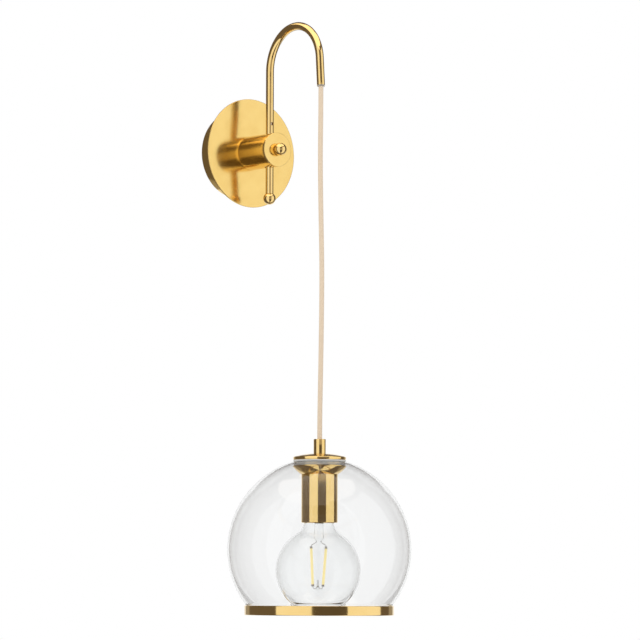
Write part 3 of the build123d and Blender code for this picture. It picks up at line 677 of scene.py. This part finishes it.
class SCONCE_OT_stem(bpy.types.Operator):
    """Stem barrel with its cross holes, and the ball-headed clamping screw"""

    bl_idname = "sconce.stem"
    bl_label = "Stem and clamping screw"

    def execute(self, context):
        sizes = context.scene.sconce_sizes
        front, mid = STEM_FACE, STEM_FACE - 4.5
        side = [(19.5, front - 1 - 6.0 * k) for k in range(8)]
        outline = rounded([(2.05, front, 0.25), (19.5, front, 0.55), *side[1:], (19.5, CANOPY_DEPTH, 0.25),
                           (17.5, CANOPY_DEPTH), (17.5, mid), (2.05, mid)], 5)
        blank = turned(outline, sizes.turned_steps, OUTWARD)
        holes = [turned(rounded([(0, 0.0), (5.65, 0.0), (5.65, 25.0), (0, 25.0)]), 64,
                        ON_ARM @ Matrix.Rotation(math.radians(a), 4, "X")) for a in (0, 180)]
        piece("stem_body", cut(blank, holes), satin_brass(), "wall_fitting", ["stem_barrel"])
        self.clamping_screw(sizes)
        return {"FINISHED"}

    def clamping_screw(self, sizes):
        """Ball head with a flat back, on a threaded shank with a plain tip."""
        ball, centre, back = 7.25, STEM_FACE + 4.7, STEM_FACE + 0.35
        flat = math.sqrt(ball ** 2 - (centre - back) ** 2)
        pitch, tip, bite = 0.7, 1.2, STEM_FACE - 7.6
        outline = [(0, bite - 1), (tip - 0.2, bite - 1), (tip, bite - 0.8), (tip, bite), (1.7, bite)]
        turns = int((STEM_FACE - bite) / pitch)
        for k in range(turns):
            low = bite + 0.1 + k * pitch
            outline += [(1.72, low), (2.0, low + pitch * 0.4), (2.0, low + pitch * 0.5),
                        (1.72, low + pitch * 0.9)]
        outline += [(2.0, back - 0.15), (2.15, back), (flat - 0.35, back), (flat - 0.1, back + 0.08)]
        outline += arc((0, centre), ball, math.degrees(math.asin((back - centre) / ball)) + 1.2, 90, 48)
        outline[-1] = (0, centre + ball)
        piece("clamping_screw", turned(outline, 96, OUTWARD), polished_brass(), "thumb_screw", ["thumb_screw"])


# ---- arm ----------------------------------------------------------------------------

ARCH_TOP, REAR_RADIUS, FRONT_RADIUS = 137.9, 47.5, 43.7
SPLAY = math.radians(4.2)
TUBE_FOOT = -49.5


def arm_spine(low, high):
    """Centre line of the arm's tube, from a height on the rear leg to one on the splayed front leg."""
    spring = ARCH_TOP - REAR_RADIUS
    apex_y = TUBE_Y - REAR_RADIUS
    leg_top = ARCH_TOP - FRONT_RADIUS * (1 - math.sin(SPLAY))
    leg_y = apex_y - FRONT_RADIUS * math.cos(SPLAY)
    line = [(TUBE_Y, low + (spring - low) * k / 60) for k in range(60)]
    line += [(y, z) for y, z in arc((apex_y, spring), REAR_RADIUS, 0, 90, 48)][:-1]
    line += arc((apex_y, ARCH_TOP - FRONT_RADIUS), FRONT_RADIUS, 90, 180 - math.degrees(SPLAY), 42)[:-1]
    drop = leg_top - high
    line += [(leg_y - drop * k / 14 * math.tan(SPLAY), leg_top - drop * k / 14) for k in range(15)]
    return [Vector((0, y, z)) * MM for y, z in line]


class SCONCE_OT_arm(bpy.types.Operator):
    """Swan-neck tube, its ball finial and the bush in its mouth"""

    bl_idname = "sconce.arm"
    bl_label = "Arm"

    def execute(self, context):
        self.tube()
        self.finial()
        self.bush()
        return {"FINISHED"}

    def tube(self):
        spine = arm_spine(TUBE_FOOT, MOUTH_HEIGHT)
        outside, inside = swept(spine, 4.5 * MM, 72), swept(spine, 3.5 * MM, 72)
        mouth, foot = spine[-1], spine[0]
        lips = []
        for k in range(1, 6):
            radius = (4.0 + 0.5 * math.cos(math.pi * k / 6)) * MM
            reach = 0.22 * math.sin(math.pi * k / 6) * MM
            lips.append((radius, reach))
        direction = (spine[-1] - spine[-2]).normalized()
        end = [[mouth + (p - mouth) * r / (4.5 * MM) + direction * (s - 0.22 * MM) for p in outside[-1]]
               for r, s in lips]
        outside[-1] = [p - direction * 0.22 * MM for p in outside[-1]]
        inside[-1] = [p - direction * 0.22 * MM for p in inside[-1]]
        bm = bmesh.new()
        skin(bm, [*outside, *end, *inside[::-1]], closed=True)
        bmesh.ops.recalc_face_normals(bm, faces=bm.faces)
        holes = []
        for height in (0, 30.6):
            holes.append(turned([(0, 0), (1.9, 0), (1.9, 12), (0, 12)], 40,
                                Matrix.Translation((0, TUBE_Y * MM, height * MM)) @ OUTWARD))
        holes.append(self.cord_slot(foot))
        piece("swan_neck_tube", cut(bm, holes), polished_brass(), "arm", ["arm_tube"], 40)

    def cord_slot(self, foot):
        """Rounded slot on the wall side, where the cores go in."""
        half, end, middle = 2.5 * MM, 17.5 * MM, 1.0 * MM
        loop = []
        for k in range(24):
            a = 2 * math.pi * k / 24
            height = middle + half * math.sin(a) + math.copysign(end, math.sin(a + 1e-6))
            loop.append(Vector((half * math.cos(a), 0, height)))
        bm = bmesh.new()
        loops = skin(bm, [[p + Vector((0, foot.y + depth, 0)) for p in loop] for depth in (0.0, 0.008)])
        bm.faces.new(loops[0])
        bm.faces.new(loops[-1])
        bmesh.ops.recalc_face_normals(bm, faces=bm.faces)
        return bm

    def finial(self):
        ball, centre = 7.05, -54.9
        start = math.degrees(math.acos(4.5 / ball))
        outline = [(0, TUBE_FOOT + 9), (3.0, TUBE_FOOT + 9), (3.45, TUBE_FOOT + 8.5), (3.45, TUBE_FOOT)]
        outline += [(4.3, TUBE_FOOT), (4.5, TUBE_FOOT - 0.1)]
        outline += arc((0, centre), ball, start, -90, 56)[1:]
        outline[-1] = (0, centre - ball)
        piece("ball_end", turned(outline, 96, ON_ARM), polished_brass(), "arm", ["ball_finial"])

    def bush(self):
        lip = MOUTH_HEIGHT - 1.6
        outline = rounded([(2.9, MOUTH_HEIGHT + 8), (3.45, MOUTH_HEIGHT + 8), (3.45, MOUTH_HEIGHT + 0.05),
                           (4.45, MOUTH_HEIGHT + 0.05, 0.15), (4.45, lip, 0.5), (3.5, lip, 0.3),
                           (3.5, MOUTH_HEIGHT + 1), (2.9, MOUTH_HEIGHT + 3)], 5)
        pivot = Matrix.Translation((0, CORD_Y * MM, MOUTH_HEIGHT * MM))
        place = pivot @ Matrix.Rotation(-SPLAY, 4, "X") @ pivot.inverted() @ ON_CORD
        plastic = finish("clear moulded plastic", (0.93, 0.9, 0.84), (0.9, 0.87, 0.8), (0.25, 0.35), patch=80,
                         grain=900, depth=0.00002, Transmission_Weight=0.75, IOR=1.45)
        piece("mouth_sleeve", turned(outline, 72, place), plastic, "arm", ["mouth_bush"])


# ---- pendant ------------------------------------------------------------------------

class SCONCE_OT_cap(bpy.types.Operator):
    """Cord grip and domed cap over the glass"""

    bl_idname = "sconce.cap"
    bl_label = "Grip and cap"

    def execute(self, context):
        steps = context.scene.sconce_sizes.turned_steps
        grip = rounded([(2.85, GRIP_TOP, 0.3), (6.8, GRIP_TOP, 0.4), (6.8, CAP_TOP, 0.15), (5.05, CAP_TOP),
                        (5.05, CAP_TOP + 8.6), (2.85, CAP_TOP + 8.6)], 5)
        hole = turned([(0, 0), (1.55, 0), (1.55, 9), (0, 9)], 32,
                      Matrix.Translation((0, CORD_Y * MM, (GRIP_TOP - 5) * MM))
                      @ Matrix.Rotation(math.radians(-90), 4, "X"))
        piece("grip_sleeve", cut(turned(grip, 96, ON_CORD), [hole]), polished_brass(), "pendant", ["cord_grip"])
        cap = [(5.05, CAP_TOP), *self.profile(0)]
        cap += three_point_arc((29.6, CAP_FOOT + 1.3), (29.42, CAP_FOOT + 0.55), (28.9, CAP_FOOT), 12)
        cap += [(28.3, CAP_FOOT), *self.profile(1.3)[::-1], (5.05, CAP_TOP - 1.3)]
        piece("cap_dome", turned(cap, steps, ON_CORD), polished_brass(), "pendant", ["top_cap"])
        return {"FINISHED"}

    def profile(self, wall):
        """Low crown, a brow and an upright rim."""
        top, rim = CAP_TOP - wall, 29.6 - wall
        knee, brow, side = (22.5, top - 1.6), (rim - 1.1, top - 3.2), (rim, top - 4.4)
        crown = three_point_arc((12, top), (17.6, top - 0.6), knee, 12)
        crown += three_point_arc(knee, (rim - 3.7, top - 2.35), brow, 12)[1:]
        return crown + three_point_arc(brow, (rim - 0.3, top - 3.65), side, 10)[1:]


class SCONCE_OT_holder(bpy.types.Operator):
    """Flared collar under the glass and polished cup over the lampholder"""

    bl_idname = "sconce.holder"
    bl_label = "Collar and cup"

    def execute(self, context):
        steps = context.scene.sconce_sizes.turned_steps
        floor = CUP_TOP + 1.5
        collar = [(5.05, CUP_TOP), (5.05, floor), (18.7, floor)]
        collar += three_point_arc((18.7, floor), (24.3, COLLAR_TOP - 4.9), (27.4, COLLAR_TOP - 1.6), 20)[1:]
        collar += [(29.5, COLLAR_TOP - 0.45), (29.8, COLLAR_TOP - 0.6), (29.8, COLLAR_TOP - 1.4)]
        collar += three_point_arc((29.75, COLLAR_TOP - 1.6), (26.4, COLLAR_TOP - 5.4), (20.3, CUP_TOP), 24)
        piece("collar_flare", turned(collar, steps, ON_CORD), polished_brass(), "pendant", ["gallery_collar"])
        under = CUP_TOP - 1.2
        cup = rounded([(5.05, CUP_TOP), (20.3, CUP_TOP, 0.3), (20.3, CUP_FOOT, 0.55), (19.1, CUP_FOOT, 0.55),
                       (19.1, under, 0.8), (5.05, under)], 6)
        piece("cup_sleeve", turned(cup, steps, ON_CORD), polished_brass(), "pendant", ["lampholder_cup"])
        return {"FINISHED"}


class SCONCE_OT_shade(bpy.types.Operator):
    """Clear globe and the polished hoop round its mouth"""

    bl_idname = "sconce.shade"
    bl_label = "Globe and hoop"

    def execute(self, context):
        sizes = context.scene.sconce_sizes
        steps = sizes.turned_steps + 32
        wall = sizes.glass_wall / MM
        neck, inside, foot = 24.0, GLOBE_RADIUS - wall, RIM_FOOT + 1.25
        drop = GLOBE_CENTRE - RIM_TOP
        lip = math.sqrt(GLOBE_RADIUS ** 2 - drop ** 2)
        top, inner_top = (math.degrees(math.acos(neck / ball)) for ball in (GLOBE_RADIUS, inside))
        turn = math.degrees(math.asin(drop / GLOBE_RADIUS))
        inner_turn = math.degrees(math.acos((lip - wall) / inside))
        outline = arc((0, GLOBE_CENTRE), GLOBE_RADIUS, top - 0.6, -turn, 96)
        outline += [(lip, RIM_TOP - 2.0), (lip, foot + 0.5), (lip - 0.5, foot), (lip - wall + 0.5, foot),
                    (lip - wall, foot + 0.5), (lip - wall, RIM_TOP - 1.5)]
        outline += arc((0, GLOBE_CENTRE), inside, -inner_turn, inner_top - 0.6, 96)
        high, low = outline[0], outline[-1]
        mid = (neck, (high[1] + low[1]) / 2)
        outline += three_point_arc(low, mid, high, 8)[1:-1]
        piece("globe", turned(outline, steps, ON_CORD), clear_glass(), "pendant", ["glass_shade"],
              50)
        self.hoop(steps, lip + 0.05)
        return {"FINISHED"}

    def hoop(self, steps, inner):
        ledge = RIM_FOOT + 1.2
        outline = rounded([(inner, RIM_TOP, 0.25), (83.4, RIM_TOP, 0.7), (83.4, -521.5), (83.4, -525.5),
                           (83.4, RIM_FOOT, 0.9), (78.6, RIM_FOOT, 0.4), (78.6, ledge, 0.3), (inner, ledge)], 6)
        piece("rim_hoop", turned(outline, steps, ON_CORD), polished_brass(), "pendant", ["rim_ring"])


# ---- bulb ---------------------------------------------------------------------------

class SCONCE_OT_bulb(bpy.types.Operator):
    """Clear globe bulb with its screw cap, mount, light sticks and wires"""

    bl_idname = "sconce.bulb"
    bl_label = "Bulb"

    def execute(self, context):
        sizes = context.scene.sconce_sizes
        self.envelope(sizes.bulb_wall / MM)
        self.screw_cap(sizes)
        self.mount()
        self.sticks()
        return {"FINISHED"}

    def profile(self, shrink):
        ball, neck, cove = 47.5 - shrink, 16.0 - shrink, 20.0 + shrink
        rise = math.sqrt((47.5 + 20) ** 2 - (16.0 + 20) ** 2)
        centre = (36.0, BULB_CENTRE + rise)
        turn = math.degrees(math.atan2(rise, 36.0))
        line = [(neck, THREAD_FOOT - 2.2)]
        line += arc(centre, cove, 180, 180 + turn, 16)
        line += arc((0, BULB_CENTRE), ball, turn, -90, 72)[1:]
        line[-1] = (0, BULB_CENTRE - ball)
        return line

    def envelope(self, wall):
        top, throat = THREAD_FOOT + 0.05, 13.6
        outline = [(throat, top), *self.profile(0), *self.profile(wall)[::-1], (throat - wall, top)]
        piece("bulb_envelope", turned(outline, 144, LEANING), bulb_clear(), "bulb", ["bulb_glass"],
              50)

    def screw_cap(self, sizes):
        """Thin shell with a rolled screw thread."""
        steps, rows = 96, 150
        pitch, depth = sizes.thread_pitch / MM, sizes.thread_depth / MM
        top, foot = THREAD_TOP - 1.6, THREAD_FOOT + 0.1
        outer, inner = [], []
        for row in range(rows + 1):
            height = foot + (top - foot) * row / rows
            fade = min(1, (height - foot) / 2.4, (top - height) / 1.2)
            ring_out, ring_in = [], []
            for k in range(steps):
                t = 2 * math.pi * k / steps
                groove = depth * fade * (0.5 - 0.5 * math.cos(2 * math.pi * height / pitch - t))
                for ring, radius in ((ring_out, 13.0 - groove), (ring_in, 12.6 - groove)):
                    ring.append(LEANING @ (Vector((radius * math.cos(t), radius * math.sin(t), height)) * MM))
            outer.append(ring_out)
            inner.append(ring_in)
        crown, under = [], []
        for radius, height in ((12.7, THREAD_TOP - 1.0), (11.9, THREAD_TOP - 0.4), (10.0, THREAD_TOP)):
            crown.append([LEANING @ (Vector((radius * math.cos(t), radius * math.sin(t), height)) * MM)
                          for t in (2 * math.pi * k / steps for k in range(steps))])
        for radius, height in ((9.7, THREAD_TOP - 0.45), (11.6, THREAD_TOP - 0.85), (12.3, THREAD_TOP - 1.4)):
            under.append([LEANING @ (Vector((radius * math.cos(t), radius * math.sin(t), height)) * MM)
                          for t in (2 * math.pi * k / steps for k in range(steps))])
        bm = bmesh.new()
        skin(bm, [*outer, *crown, *under, *inner[::-1]], closed=True)
        bmesh.ops.recalc_face_normals(bm, faces=bm.faces)
        nickel = finish("nickel-plated cap", (0.68, 0.66, 0.62), (0.6, 0.58, 0.54), (0.16, 0.28), patch=150,
                        grain=2500, depth=0.00001, Metallic=1)
        piece("threaded_cap", bm, nickel, "bulb", ["bulb_cap"], 50)

    def mount(self):
        """Flared glass foot, stem, flattened seal and centre rod with a button at its end."""
        foot = THREAD_FOOT
        outline = [(0, foot - 1.5), (12.4, foot - 1.5), (12.6, foot - 1.8), (12.3, foot - 2.4)]
        outline += three_point_arc((12.3, foot - 2.4), (7.4, foot - 5.6), (5.2, foot - 11.0), 14)[1:]
        outline += [(4.8, -427.5), (4.8, -439.0)]
        outline += three_point_arc((4.8, -439.0), (4.2, -443.0), (2.4, -446.0), 10)[1:]
        outline += [(2.0, -448.4)]
        outline += three_point_arc((2.0, -448.4), (1.3, -450.6), (1.1, -453.5), 6)[1:]
        outline += [(1.1, -472.0), (1.1, -488.0)]
        outline += three_point_arc((1.1, -496.6), (2.0, -498.8), (0, -500.8), 12)
        outline[-1] = (0, -500.8)
        bm = turned(outline, 64, Matrix())
        for vert in bm.verts:
            height = vert.co.z / MM
            squeeze = max(0.0, 1 - abs(height + 443.5) / 5.5)
            along = VIEW_RIGHT * vert.co.dot(VIEW_RIGHT)
            rest = Vector((vert.co.x, vert.co.y, 0)) - along
            flat = along * (1 + 0.25 * squeeze) + rest * (1 - 0.55 * squeeze)
            vert.co = Vector((flat.x, flat.y, vert.co.z))
        bm.transform(LEANING)
        piece("glass_mount", bm, bulb_clear(), "bulb", ["bulb_stem"], 50)

    def sticks(self):
        """Two light sticks with metal end caps, and the wires that hold them."""
        light, metal = bmesh.new(), bmesh.new()
        square = Vector((math.sin(BEARING), math.cos(BEARING), 0))

        def at(reach, height):
            return LEANING @ ((VIEW_RIGHT * reach + Vector((0, 0, height))) * MM)

        for side in (1, -1):
            top, low = at(side * 8.3, -453.3), at(side * 5.7, -495.6)
            along = (low - top).normalized()
            spine = [top + along * reach for reach in (0, 0.00012, 0.0003)]
            spine += [top + (low - top) * k / 24 for k in range(1, 24)]
            spine += [low - along * reach for reach in (0.0003, 0.00012, 0)]
            wire(light, spine, 0.0014, 20, square)
            for end, way in ((top, along), (low, -along)):
                wire(metal, [end - way * 0.0012, end - way * 0.0006, end + way * 0.0012], 0.0015, 16, square)
            hook = [at(side * 2.3, -445.6), at(side * 2.9, -447.4), at(side * 4.6, -449.0), at(side * 6.6, -449.9),
                    at(side * 8.2, -450.8), at(side * 8.4, -452.6)]
            wire(metal, self.eased(hook), 0.00032, 10, square)
            loop = [at(side * 1.0, -498.4), at(side * 3.0, -499.4), at(side * 4.9, -498.8), at(side * 5.6, -496.8)]
            wire(metal, self.eased(loop), 0.00028, 10, square)
        for bm in (light, metal):
            bmesh.ops.recalc_face_normals(bm, faces=bm.faces)
        piece("light_sticks", light, phosphor(), "bulb", ["filaments"])
        piece("mount_wires", metal, bare_wire(), "bulb", ["filament_leads"])

    def eased(self, points, steps=6):
        """Smooth line through bends, cutting each corner by halves."""
        for _ in range(3):
            line = [points[0]]
            for a, b in zip(points, points[1:]):
                line += [a.lerp(b, 0.25), a.lerp(b, 0.75)]
            points = line + [points[-1]]
        return points


# ---- fittings that keep their CAD shape ---------------------------------------------

def nylon():
    """Pale moulded nylon."""
    return finish("moulded nylon", (0.82, 0.8, 0.74), (0.76, 0.74, 0.68), (0.4, 0.55), patch=90, grain=1800,
                  depth=0.00002, Subsurface_Weight=0.1)


def core(name, colour):
    """Insulation of one core."""
    return finish(name, colour, [c * 0.8 for c in colour], (0.4, 0.5), patch=150, grain=2500, depth=0.00001)


def contact_brass():
    """Plain unlacquered brass."""
    return finish("plain brass", (0.74, 0.54, 0.22), (0.6, 0.42, 0.17), (0.28, 0.45), patch=140, grain=2200,
                  depth=0.00001, Metallic=1)


def rubber():
    """Pale silicone."""
    return finish("pale silicone", (0.74, 0.73, 0.7), (0.68, 0.67, 0.64), (0.5, 0.65), patch=90, grain=2500,
                  depth=0.00002)


FITTINGS = {
    "wall_bracket": steel, "canopy_screws": steel, "earth_screw": steel, "earth_tag": steel,
    "terminal_screws": steel, "stem_nipple": steel, "nipple_washer": steel, "nipple_nut": steel,
    "grip_screw": steel, "pendant_nipple": steel, "collar_nut": steel,
    "stem_base_plug": contact_brass, "screw_shell": contact_brass, "centre_contact": contact_brass,
    "side_contact": contact_brass,
    "upper_bush": nylon, "lower_bush": nylon, "clamp_pad": nylon,
    "upper_gasket": rubber, "lower_gasket": rubber,
    "live_core": lambda: core("brown insulation", (0.2, 0.09, 0.04)),
    "neutral_core": lambda: core("blue insulation", (0.03, 0.13, 0.42)),
    "earth_core": lambda: core("green and yellow insulation", (0.3, 0.45, 0.05)),
    "arm_cores": lambda: core("brown insulation", (0.2, 0.09, 0.04)),
    "holder_cores": lambda: core("brown insulation", (0.2, 0.09, 0.04)),
    "arm_cord": cord_cover, "cord_end": cord_cover,
    "terminal_block": lambda: finish("terminal plastic", (0.78, 0.78, 0.75), (0.72, 0.72, 0.69), (0.3, 0.4),
                                     grain=1500),
    "lampholder_insulator": lambda: finish("white glazed ceramic", (0.82, 0.81, 0.77), (0.77, 0.76, 0.71),
                                           (0.1, 0.2), patch=120, grain=500, depth=0.00003, Coat_Weight=0.5),
    "bulb_insulator": lambda: finish("black glass", (0.012, 0.012, 0.016), (0.02, 0.02, 0.026), (0.08, 0.16),
                                     patch=200, grain=900, depth=0.00002),
    "bulb_contact": bare_wire,
}


class SCONCE_OT_fittings(bpy.types.Operator):
    """Finishes for the fittings that keep their CAD shape"""

    bl_idname = "sconce.fittings"
    bl_label = "Fittings"

    def execute(self, context):
        for node, made in FITTINGS.items():
            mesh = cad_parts[node].data
            mesh.materials.clear()
            mesh.materials.append(made())
        return {"FINISHED"}


# ---- panel and order of work --------------------------------------------------------

STEPS = (SCONCE_OT_stage, SCONCE_OT_cord, SCONCE_OT_canopy, SCONCE_OT_stem, SCONCE_OT_arm, SCONCE_OT_cap,
         SCONCE_OT_holder, SCONCE_OT_shade, SCONCE_OT_bulb, SCONCE_OT_fittings)


class SCONCE_PT_panel(bpy.types.Panel):
    """Steps that build the sconce"""

    bl_idname = "SCONCE_PT_panel"
    bl_label = "Wall sconce"
    bl_space_type = "VIEW_3D"
    bl_region_type = "UI"
    bl_category = "Sconce"

    def draw(self, context):
        for step in STEPS:
            self.layout.operator(step.bl_idname, text=step.bl_label)
        for group in (context.scene.sconce_sizes, context.scene.sconce_colours, context.scene.sconce_stage):
            box = self.layout.box()
            for name in group.__annotations__:
                box.prop(group, name)


CLASSES = (SconceSizes, SconceColours, SconceStage, *STEPS, SCONCE_PT_panel)
GROUPS = {"sconce_sizes": SconceSizes, "sconce_colours": SconceColours, "sconce_stage": SconceStage}


def register():
    for kind in CLASSES:
        bpy.utils.register_class(kind)
    for name, kind in GROUPS.items():
        setattr(bpy.types.Scene, name, PointerProperty(type=kind))


def unregister():
    for name in GROUPS:
        delattr(bpy.types.Scene, name)
    for kind in reversed(CLASSES):
        bpy.utils.unregister_class(kind)


def main():
    register()
    bpy.ops.sconce.stage()
    bpy.ops.sconce.cord()
    bpy.ops.sconce.canopy()
    bpy.ops.sconce.stem()
    bpy.ops.sconce.arm()
    bpy.ops.sconce.cap()
    bpy.ops.sconce.holder()
    bpy.ops.sconce.shade()
    bpy.ops.sconce.bulb()
    bpy.ops.sconce.fittings()


if __name__ == "__main__":
    main()
